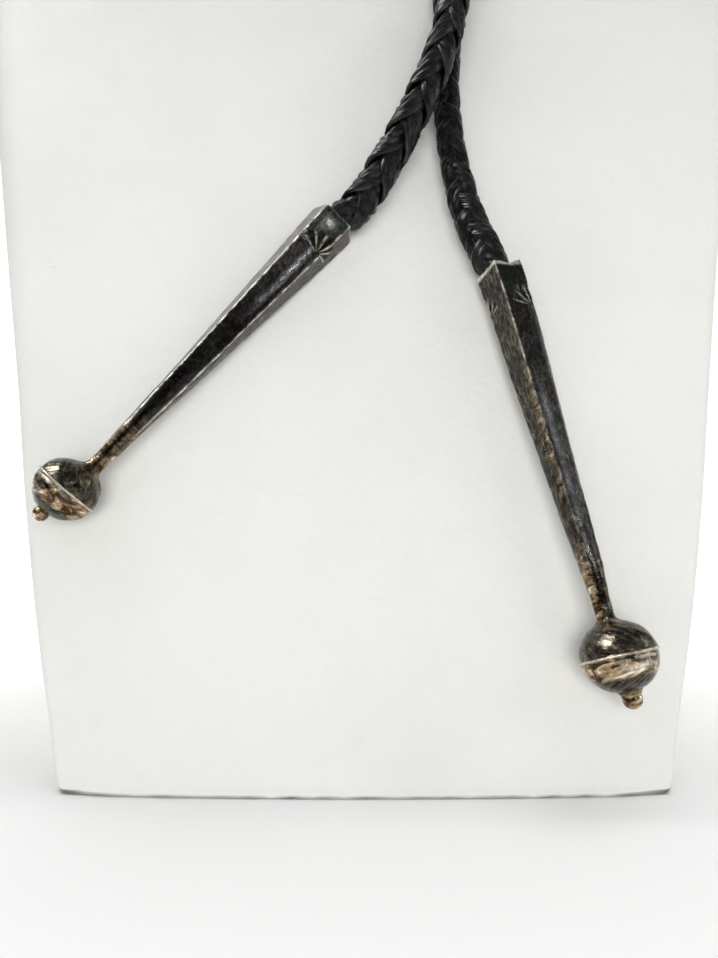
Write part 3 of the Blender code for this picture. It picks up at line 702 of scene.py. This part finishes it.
def makeTip(side, material):
    plan, detail = named(tipPlan[side]), named(tipDetail)
    seed = 100 if side == "left" else 200
    corners = np.array(plan.mouth) * tipReach
    meanReach = np.linalg.norm(corners, axis=1).mean()
    n = detail.sidePoints
    # Points of an outline: closer by the corners, by sin^2 spacing along each side
    share = np.arange(n) / n
    share = mix(share, 0.5 - 0.5 * np.cos(pi * share), 0.6)[None, :, None]
    sides = (np.roll(corners, -1, 0) - corners)[:, None, :]
    outline = (corners[:, None, :] + sides * share).reshape(-1, 2)
    angles = np.arctan2(outline[:, 1], outline[:, 0])
    around = len(angles)
    steps = np.diff(np.vstack([outline, outline[:1]]), axis=0)
    perimeter = np.r_[0.0, np.cumsum(np.linalg.norm(steps, axis=1))]
    whole, lay = perimeter[-1], perimeter[:-1]
    sideIndex, acrossSide = np.arange(around) // n, (np.arange(around) % n) / n
    onFront, onAside = (np.where(sideIndex == k, 1.0, 0.0)[None, :] for k in (1, 0))

    def fromCorner(k):
        # Distance round the outline from a corner, below 0 before it
        return ((lay - perimeter[k * n] + whole / 2) % whole - whole / 2)[None, :]

    # Outer stem from the mouth down to the ball
    stemStart = plan.ballRadius * plan.squash + detail.neckFillet
    stemLength = plan.length - stemStart
    fromMouth = np.r_[np.linspace(0.0, detail.fineReach, 100),
                      np.linspace(detail.fineReach, stemLength, 112)[1:]]
    down = fromMouth[:, None]
    place = 1 - fromMouth / stemLength
    table, full = smoothLine(stemRows, 20), np.array(plan.fullness)
    growth = np.interp(place, table[:, 0], table[:, 1])[:, None]
    roundness = np.interp(place, table[:, 0], table[:, 2])[:, None]
    widening = np.interp(place, full[:, 0], full[:, 1])[:, None]
    scale = mix(stemEndRadius / meanReach, 1.0, growth) * widening
    radius = mix(stemEndRadius, meanReach * 0.9, growth) * widening
    reach = mix(outlineReach(corners, angles, 60.0)[None, :] * scale, radius, roundness)
    for k in range(4):
        hollow = np.where(sideIndex == k, np.sin(pi * acrossSide), 0.0)[None, :]
        reach = reach - 0.00010 * (0.7 + 0.5 * wander(fromMouth, seed + k, 0.03)[:, None]) * hollow * scale
        reach = reach + 0.00005 * wander(fromMouth, seed + 10 + k, 0.011)[:, None] * hollow
    edgeNear = np.minimum.reduce([np.abs(fromCorner(k)) for k in range(4)]) * scale
    ridge = bell(edgeNear, 0.0, detail.ridgeWidth)
    reach = reach + 0.00004 * ridge * wander(fromMouth, seed + 20, 0.008)[:, None]
    stamped, lines = np.zeros_like(reach), np.zeros_like(reach)
    for corner, apex, size, offset in plan.fans:
        petals, between = fanStamp(apex - down, fromCorner(corner) * scale - offset, size)
        stamped, lines = np.maximum(stamped, petals), np.maximum(lines, between)
    # A low swelling runs down the front face from below the stamps
    along = ramp(0.0070, 0.0095, down) * (1 - ramp(*plan.swellEnd, down))
    reach = reach + detail.swellHeight * bell(acrossSide, plan.swell, 0.10) * onFront * along
    reach = reach - detail.fanDepth * stamped - 0.00010 * bell(down, 0.0, 0.0004)
    shift = (-plan.ballOffset * (1 - place) + np.interp(place, full[:, 0], full[:, 2]))[:, None]
    # Uneven rim: rise in metres at angles round the mouth, joined by straight lines
    rim = np.array(plan.rim)
    dip = np.interp(angles, rim[:, 0], rim[:, 1], period=2 * pi)
    dip = dip + 0.00006 * wander(angles / (2 * pi) * 0.03 + 0.5, seed + 30, 0.006)
    stemZ = stemStart + place[:, None] * stemLength + dip[None, :] * np.exp(-down / 0.0012)
    stem = together(reach * np.cos(angles) + shift, reach * np.sin(angles), stemZ)

    # Marks of the stem: worn ridges, stamped lines and rim, and a painted highlight spot; painted blue-grey
    # reflection streaks and bands; brassy solder
    uneven = np.clip(0.6 + 0.6 * wander(fromMouth, seed + 50, 0.013), 0.15, 1)[:, None]
    chipped = mix(0.30, 1.0, np.clip(0.55 + wander(fromMouth, seed + 51, 0.006), 0, 1))[:, None]
    patchy = np.clip(0.50 + 0.75 * wander(fromMouth, seed + 52, 0.0035), 0.05, 1)[:, None]
    fade = mix(1.0, plan.ridgeFade, ramp(0.018, 0.028, down)) * ramp(0.003, 0.014, stemLength - down)
    # Painted highlight: a bright star near the rim of the front face, with a painted halo round it
    spot = bell(down, 0.0026, 0.0005) * bell(acrossSide, 0.48, 0.08) * onFront
    paintedGlintHalo = bell(down, 0.0026, 0.0013) * bell(acrossSide, 0.46, 0.16) * onFront
    rimWorn = plan.rimWear * (1 - ramp(plan.rimGap, plan.rimGap + 0.0005, down))
    stemWearAndGlint = np.clip(fade * ridge * chipped * (1 - stamped) + 0.62 * lines + plan.spot * spot
                       + rimWorn, 0, 1)
    # Painted reflections: a blue-grey streak along the swelling, a band down the right tip's front face and
    # a strip beside the side face's ridge, laid into the colour as sheen
    streak = plan.streak * bell(acrossSide, plan.swell, 0.085) * onFront * along
    band = (plan.band * bell(acrossSide, 0.34, 0.12) * onFront
            * ramp(0.020, 0.027, down) * (1 - ramp(0.048, 0.057, down)))
    sidePale = plan.sidePale * onAside * ramp(0.74, 0.86, acrossSide) * patchy
    stemPaintedSheen = np.clip(streak * (0.55 + 0.45 * uneven) + band * (0.4 + 0.6 * uneven) + sidePale
                       + 0.5 * plan.spot * paintedGlintHalo, 0, 1) * (1 - stamped)
    stemMottle = onAside * plan.mottle[0] + onFront * plan.mottle[1] + 0.5 * (1 - onFront - onAside)
    stemWarm = ((1 - ramp(0.002, 0.013, stemLength - down)) * (1 - 0.6 * onFront)
                + plan.rust * onAside * bell(acrossSide, 0.86, 0.20) * bell(down, 0.031, 0.011))

    # Socket: from its floor up the inner wall to the rim
    depth = np.linspace(detail.socketDepth, 0.0, detail.socketRows)[:, None]
    inner = outlineReach(corners, angles, 30.0) - tipWall
    wall = inner[None, :] * full[-1, 1] * (1 - depth / socketTaper)
    socket = together(wall * np.cos(angles) + full[-1, 2], wall * np.sin(angles),
                      plan.length - depth + dip[None, :] * np.exp(-depth / 0.0012))
    lip = mix(socket[-1], stem[0], 0.5)[None] + np.array([0.0, 0.0, 0.00012])

    # Ball: round arcs on both sides of the flange, a hollow curve of solder up to the stem, and
    # one down to the nub
    ball, squash, nub = plan.ballRadius, plan.squash, plan.nubRadius
    seam = math.radians(detail.seamAngle)
    first, last = math.asin(stemEndRadius * 1.7 / ball), math.asin(nub * plan.nubFoot / ball)
    fillet = np.linspace(0, 1, detail.filletRows + 2)[1:-1]
    arc = np.linspace(0, 1, detail.arcRows)
    upper, lower = mix(first, seam, arc), mix(seam, last, arc)
    foot = np.array([0.25, 0.5, 0.75, 0.9])
    nubTurn = np.radians(np.linspace(plan.nubTop, 172, detail.nubRows))
    nubR, nubZ = nub * np.sin(nubTurn), -plan.nubReach + nub * np.cos(nubTurn)
    proud, flange = ball + detail.flangeProud, detail.flangeThickness / 2

    def downBall(*parts):
        # A number for each ring of the fillet, upper half, flange, lower half, foot and nub
        counts = (len(fillet), len(arc), 4, len(arc), len(foot), len(nubTurn))
        return np.concatenate([np.broadcast_to(part, count) for part, count in zip(parts, counts)])

    r = downBall(mix(stemEndRadius, ball * math.sin(first), fillet ** 2.2), ball * np.sin(upper),
                 [proud - 0.00010, proud, proud, proud - 0.00010], ball * np.sin(lower),
                 mix(ball * math.sin(last), nubR[0], foot ** 0.55), nubR)
    z = downBall(mix(stemStart, ball * squash * math.cos(first), fillet ** 0.75),
                 ball * squash * np.cos(upper), [flange, flange * 0.6, -flange * 0.6, -flange],
                 -ball * squash * np.cos(lower), mix(-ball * squash * math.cos(last), nubZ[0], foot ** 1.6),
                 nubZ)
    slide = downBall(mix(1.0, 0.5, fillet), 0.5 * (1 - ramp(0, 0.5, arc)), 0, 0, 0, 0)
    lowerShare = downBall(0, 0, [0.2, 0.5, 0.8, 1.0], 1, 1, 1)
    nubShare = downBall(0, 0, 0, ramp(0.7, 1.0, arc), 1, 1)
    ballWarm = downBall(0.35, mix(0.30, 0.12, ramp(0, 0.4, arc)), 0.8, 1 - ramp(0.42, 0.62, arc),
                        [0.2, 0.4, 0.6, 0.8], 0.9)
    ballMottle = downBall(0.8, 0.8, 0.0, 0.5, 0.5, 0.5)
    flangeWear = downBall(0, 0, [0.5, 0.8, 0.8, 0.5], 0, 0, 0)
    dents = (0.00006 * wander(angles[None, :] / 6.28 * 0.02 + z[:, None], seed + 40, 0.006)
             + 0.00003 * wander(angles[None, :] / 6.28 * 0.03 - z[:, None], seed + 41, 0.003))
    balls = r[:, None] + dents + 0.00003 * (lowerShare * wander(z, seed + 42, 0.0015))[:, None]
    aside = plan.nubShift[0] * nubShare - plan.ballOffset * slide
    ballPoints = together(balls * np.cos(angles) + aside[:, None],
                          balls * np.sin(angles) + (plan.nubShift[1] * nubShare)[:, None], z[:, None])
    # Painted highlights on the lower half, turned towards the viewer: one bell down it times one round it
    waved = downBall(-1, -1, -1, arc, 2, 2)[:, None] - 0.03 * wander(angles, seed + 60, 1.1)[None, :]
    rubs = sum(amount * bell(waved, middle, high)
               * bell((angles - facing + pi) % (2 * pi) - pi, 0.0, wide)
               for middle, high, facing, wide, amount in plan.rubs)

    every = np.concatenate([socket, lip, stem, ballPoints])
    inside = len(socket)
    bottom = [*plan.nubShift, -plan.nubReach - nub]
    local = np.vstack([every.reshape(-1, 3), every[0].mean(0), bottom])

    def tipMark(inSocket, onLip, onStem, onBall, onEnds):
        # A number for each point, the last two for the socket's floor and the nub's end
        parts = ((inSocket, inside), (onLip, 1), (onStem, len(stem)), (onBall, len(r)))
        return np.concatenate([*(np.broadcast_to(part, (rows, around)).ravel() for part, rows in parts),
                               onEnds])

    # The mark for worn metal also carries painted highlights: the star on the stem and the bright patches
    # on the ball
    marks = {
        "wear": tipMark(0, plan.rimWear, stemWearAndGlint, np.maximum(flangeWear[:, None], rubs), [0, 0.3]),
        "grime": tipMark(1, 0, stamped, 0, [1, 0]),
        "warm": tipMark(0, 0, stemWarm, ballWarm[:, None], [0, 1]),
        "pale": tipMark(0, 0, stemPaintedSheen, 0, [0, 0]),
        "mottle": tipMark(0.4, 0.4, stemMottle, ballMottle[:, None], [0.4, 0.4]),
    }
    layRows = np.r_[np.full(inside + 1, plan.length), stemZ.mean(1), z]
    reachRows = np.r_[np.full(inside + 1, tipReach), scale[:, 0] * meanReach, np.maximum(r, 0.001)]
    tipUv = together(angles / (2 * pi) * 6.3 * reachRows[:, None], layRows[:, None])
    tipUv = np.vstack([tipUv.reshape(-1, 2), [0.0, plan.length - detail.socketDepth],
                       [0.0, -plan.nubReach]])
    axes, middle = tipAxes(side)
    piece = buildPiece(f"silver_{side}_tip", local @ axes + middle,
                       closedFaces(len(every), around, inward=True), material, uv=tipUv, marks=marks)
    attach(piece, body)
    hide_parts(f"tip_{side}")
    print(side, "tip made,", len(local), "points")


silverLook = {
    "dark": (0.013, 0.011, 0.009), "mid": (0.22, 0.195, 0.15), "bright": (0.95, 0.90, 0.80),
    "brass": (0.42, 0.30, 0.17), "gold": (0.97, 0.88, 0.70), "umber": (0.045, 0.022, 0.009),
    "violet": (0.036, 0.024, 0.030), "green": (0.020, 0.034, 0.026), "pale": (0.46, 0.48, 0.50),
    "roughness": 0.15,
}


def tarnishedSilver():
    # Old silver: dark patina with greyish streaks and flecks, brassy solder, bright worn ridges, painted
    # highlights and painted blue-grey reflection sheen
    look, m = named(silverLook), Shading(bpy.data.materials.new("tarnished_silver"))
    place, spot = m.layPlace(), m.objectPlace()
    wear, grime, warm, pale, mottled = map(m.attribute, ("wear", "grime", "warm", "pale", "mottle"))
    cloud = m.noise(spot, 330.0, 5.0, 0.66, 0.6)
    tint = m.noise(spot, 190.0, 3.0, 0.55)
    speckle = m.noise(spot, 1500.0, 4.0, 0.72)
    streak = m.noise(m.stretched(place, (1700, 620, 1)), 1.0, 4.0, 0.66, 0.4)
    ring = m.noise(m.stretched(place, (380, 950, 1), (0.3, 0.2, 0)), 1.0, 4.0, 0.62, 0.7)
    patina = m.blend(m.curve(tint, 0.42, 0.60), look.violet, look.green)
    patina = m.blend(m.curve(cloud, 0.38, 0.58, 0.15, 1.0), patina, look.dark)
    greyed = m.calc("MULTIPLY", m.curve(streak, 0.42, 0.62), m.curve(cloud, 0.38, 0.58, 0.30, 1.0))
    metal = m.blend(m.calc("MULTIPLY", greyed, mottled), patina, look.mid)
    gilt = m.blend(m.curve(ring, 0.42, 0.56), look.umber, look.brass)
    gilt = m.blend(m.curve(ring, 0.57, 0.66), gilt, look.gold)
    metal = m.blend(m.calc("MULTIPLY", warm, m.curve(cloud, 0.34, 0.50, 0.30, 1.0)), metal, gilt)
    # Bright worn metal together with painted highlights, which come in through the same mark
    rubbedAndHighlit = m.calc("MULTIPLY", wear, m.curve(speckle, 0.34, 0.56, 0.40, 1.0))
    flecks = m.calc("MULTIPLY", m.curve(speckle, 0.58, 0.70, 0.0, 0.60),
                    m.calc("MULTIPLY", m.curve(cloud, 0.46, 0.60), mottled))
    # Painted sheen: blue-grey reflection streaks and bands laid into the colour
    metal = m.blend(m.calc("MULTIPLY", pale, m.curve(speckle, 0.30, 0.60, 0.80, 1.0)), metal,
                    look.pale)
    metal = m.blend(m.calc("MAXIMUM", rubbedAndHighlit, flecks), metal, look.bright)
    metal = m.blend(m.calc("MULTIPLY", grime, 0.60), metal, look.dark)
    rough = m.curve(speckle, 0.35, 0.70, look.roughness, look.roughness + 0.20)
    normal = m.bump(streak, 0.20, 0.00010, m.bump(cloud, 0.40, 0.00035))
    m.set({"Base Color": metal, "Metallic": 1.0, "Normal": m.bump(speckle, 0.45, 0.00008, normal),
           "Roughness": m.calc("ADD", rough, m.calc("MULTIPLY", wear, 0.16))})
    return m.owner


silver = tarnishedSilver()
makeTip("left", silver)
makeTip("right", silver)


# Slide: a plain domed oval with a rolled edge, and two channel tubes soldered behind it

slidePlan = {
    "place": (0.0175, -0.01323, 0.196), "across": (0.99968, 0.02514, 0.0),
    "up": (-0.00724, 0.28784, 0.95765), "out": (0.02408, -0.95735, 0.28793),
    "width": 0.038, "length": 0.047, "dome": 0.0052, "edge": 0.0012,
    "spacing": 0.0085, "channelLength": 0.018, "bore": 0.0037, "wall": 0.0009,
}


def makeSlide(material):
    plan = named(slidePlan)
    around, spokes = 120, 56
    depth = 2 * (plan.bore + plan.wall)
    base, edge = depth - plan.wall / 2, plan.edge
    # Dome: share of the oval's reach against height, from the back's middle round the rolled edge
    # to the crown, where the share is cos and the height dome times sin of the same angle
    angle = np.linspace(0, pi / 2, 40)[1:-1]
    bead = np.linspace(-pi / 2, pi / 2, 12)
    share = np.r_[0.35, 0.70, 0.94, 0.978 + 0.022 * np.cos(bead), 0.955, 0.945 * np.cos(angle)]
    height = base + np.r_[0, 0, 0, edge / 2 * (1 + np.sin(bead)), edge * 0.80,
                          edge * 0.80 + (plan.dome + edge * 0.2) * np.sin(angle)]
    turn = 2 * pi * np.arange(around) / around
    lift = height + 0.00005 * wander(share * 0.02, 301, 0.008)
    rings = together(share[:, None] * plan.width / 2 * np.cos(turn),
                     share[:, None] * plan.length / 2 * np.sin(turn), lift[:, None])
    local = np.vstack([rings.reshape(-1, 3), [0, 0, base], [0, 0, base + edge + plan.dome]])
    faces = closedFaces(len(rings), around)
    beadWear = np.r_[0, 0, 0, np.clip(np.sin(bead), 0, 1) * 0.8 + 0.2, 0.1, np.zeros(len(angle))]
    wear = [np.repeat(beadWear, around), [0, 0]]
    warm = [np.repeat(np.where(height <= base + 1e-6, 0.6, 0.0), around), [0.6, 0.0]]
    # Channels: a rectangle with cut corners turned about each channel's axis
    inner, outer, half = plan.bore, plan.bore + plan.wall, plan.channelLength / 2
    soft = plan.wall * 0.35
    profile = np.array([(inner, -half + soft), (inner + soft, -half), (outer - soft, -half),
                        (outer, -half + soft), (outer, 0.0), (outer, half - soft),
                        (outer - soft, half), (inner + soft, half), (inner, half - soft), (inner, 0.0)])
    spin = 2 * pi * np.arange(spokes)[:, None] / spokes
    tubeFaces = ringFaces(spokes + 1, len(profile)) % (spokes * len(profile))
    for side in (-1, 1):
        tube = together(side * plan.spacing / 2 + profile[:, 0] * np.cos(spin), profile[:, 1],
                        depth / 2 + profile[:, 0] * np.sin(spin))
        faces.append(len(local) + tubeFaces)
        local = np.vstack([local, tube.reshape(-1, 3)])
        wear.append(np.tile([0.2, 0.8, 0.8, 0.2, 0, 0.2, 0.8, 0.8, 0.2, 0], spokes))
        warm.append(np.full(spokes * len(profile), 0.5))
    axes = np.array([plan.across, plan.up, plan.out])
    points = local @ axes + np.array(plan.place) + axes[2] * 0.0003
    none = np.zeros(len(points))
    piece = buildPiece("silver_slide", points, faces, material, uv=local[:, :2],
                       marks={"wear": np.concatenate(wear), "grime": none, "pale": none,
                              "warm": np.concatenate(warm), "mottle": none + 0.5})
    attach(piece, body)
    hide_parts("slide")
    print("slide made")


makeSlide(silver)


# Floor, backdrop and light

stagePlan = {
    # The front colour is a painted shade on the floor before the bust, fading into the floor colour between
    # the y values given below
    "floor": (0.94, 0.94, 0.935), "front": (0.81, 0.81, 0.805), "wallY": 1.6, "height": 2.6,
    "width": 5.0, "curve": 0.7, "surround": 8.0, "low": (0.42, 0.42, 0.42), "high": (0.86, 0.86, 0.855),
    "frontEnds": (-0.105, -0.030),        # y between which the floor goes from front to floor
    "surroundEnds": (-0.5, 3.5),          # height between which the surround goes from low to high
    "worldDark": (0.02, 0.02, 0.02), "worldPale": (0.97, 0.98, 1.0), "worldStrength": 0.39,
}
lightPlan = {
    # place, aimed at, width and height, watts, kinds of surface that it leaves out
    "key": ((-0.42, -0.60, 0.62), (0.0, -0.05, 0.09), (0.36, 0.36), 0.56, ""),
    "fill": ((0.62, -0.42, 0.42), (0.0, -0.05, 0.08), (0.30, 0.50), 0.65, "glossy"),
    "left sheen": ((-0.48, -0.14, 0.76), (0.0, -0.05, 0.10), (0.30, 0.30), 6.0, "diffuse"),
    "right sheen": ((0.75, -0.16, 0.34), (0.0, -0.05, 0.10), (0.22, 0.34), 0.6, "diffuse"),
    "glint": ((0.224, -0.460, 0.266), (-0.0057, -0.0518, 0.0904), (0.022, 0.022), 0.10, "diffuse"),
    "front": ((0.0, -0.46, 0.075), (0.0, -0.05, 0.06), (0.26, 0.20), 1.05, "glossy"),
    "wall": ((0.0, 0.6, 1.6), (0.0, 0.9, 0.0), (2.5, 1.0), 43.0, "glossy"),
}


def makeStage():
    # Sweep: a level floor, a quarter circle and an upright wall, as one profile along x
    plan = named(stagePlan)
    turn = np.linspace(0, pi / 2, 24)
    y = np.r_[-3.0, plan.wallY - plan.curve + plan.curve * np.sin(turn), plan.wallY]
    z = np.r_[0.0, plan.curve * (1 - np.cos(turn)), plan.height]
    x = np.linspace(-plan.width, plan.width, 12)
    points = together(x, y[:, None], z[:, None])
    m = Shading(bpy.data.materials.new("white_sweep"))
    # Painted shade: the floor is darker in front of the bust
    near = m.curve(m.along("Y", m.objectPlace()), *plan.frontEnds)
    m.set({"Base Color": m.blend(near, plan.front, plan.floor), "Roughness": 0.8,
           "Specular IOR Level": 0.1})
    sweep = buildPiece("sweep", points.reshape(-1, 3), [ringFaces(len(y), len(x), closed=False)], m.owner)
    # Light-coloured surround that glows though it is no lamp, seen by the camera alone, painted darker
    # below and brighter above: a sphere's points are radius times (cos rise cos turn, cos rise sin turn,
    # sin rise)
    turn, rise = 2 * pi * np.arange(64)[None, :] / 64, np.linspace(-1.5, 1.57, 40)[:, None]
    points = plan.surround * together(np.cos(rise) * np.cos(turn), np.cos(rise) * np.sin(turn),
                                      np.sin(rise))
    m = Shading(bpy.data.materials.new("glowing_surround"))
    height = m.curve(m.along("Z", m.objectPlace()), *plan.surroundEnds)
    m.set({"Base Color": (0.0, 0.0, 0.0), "Specular IOR Level": 0.0, "Emission Strength": 1.0,
           "Emission Color": m.blend(height, plan.low, plan.high)})
    surround = buildPiece("surround", points.reshape(-1, 3), [ringFaces(40, 64)], m.owner)
    for way in ("diffuse", "glossy", "transmission", "volume_scatter", "shadow"):
        setattr(surround, "visible_" + way, False)


def areaLight(name, place, aim, size, power, without):
    data = bpy.data.lights.new(name, "AREA")
    data.shape = "RECTANGLE"
    data.size, data.size_y = size
    data.energy = power
    lamp = bpy.data.objects.new(name, data)
    lamp.location = place
    direction = np.array(aim) - np.array(place)
    yaw = math.atan2(direction[0], -direction[1])
    pitch = math.atan2(math.hypot(direction[0], direction[1]), -direction[2])
    lamp.rotation_euler = (pitch, 0.0, pi + yaw)
    if without:
        setattr(lamp, "visible_" + without, False)
    bpy.context.collection.objects.link(lamp)


def makeLight():
    plan = named(stagePlan)
    world = bpy.data.worlds.new("studio")
    bpy.context.scene.world = world
    m = Shading(world, "Background")
    direction = m.node("TexCoord", "Generated", {})
    level = m.calc("MAXIMUM", m.curve(m.along("Y", direction), -0.80, 0.05),
                   m.curve(m.along("Z", direction), 0.25, 0.75))
    # Uneven studio: soft bright and dark areas all round, so that metal has something to mirror
    patches = m.noise(m.stretched(direction, (1, 1, 1), (2.3, 0.7, 1.1)), 2.2, 2.0, 0.5)
    level = m.calc("MULTIPLY", level, m.curve(patches, 0.44, 0.58, 0.05, 1.95))
    m.set({"Color": m.blend(level, plan.worldDark, plan.worldPale), "Strength": plan.worldStrength})
    for name, settings in lightPlan.items():
        areaLight(name, *settings)


makeStage()
makeLight()
bpy.context.scene.view_settings.view_transform = "Standard"
print("stage and light set")

bpy.context.view_layer.update()
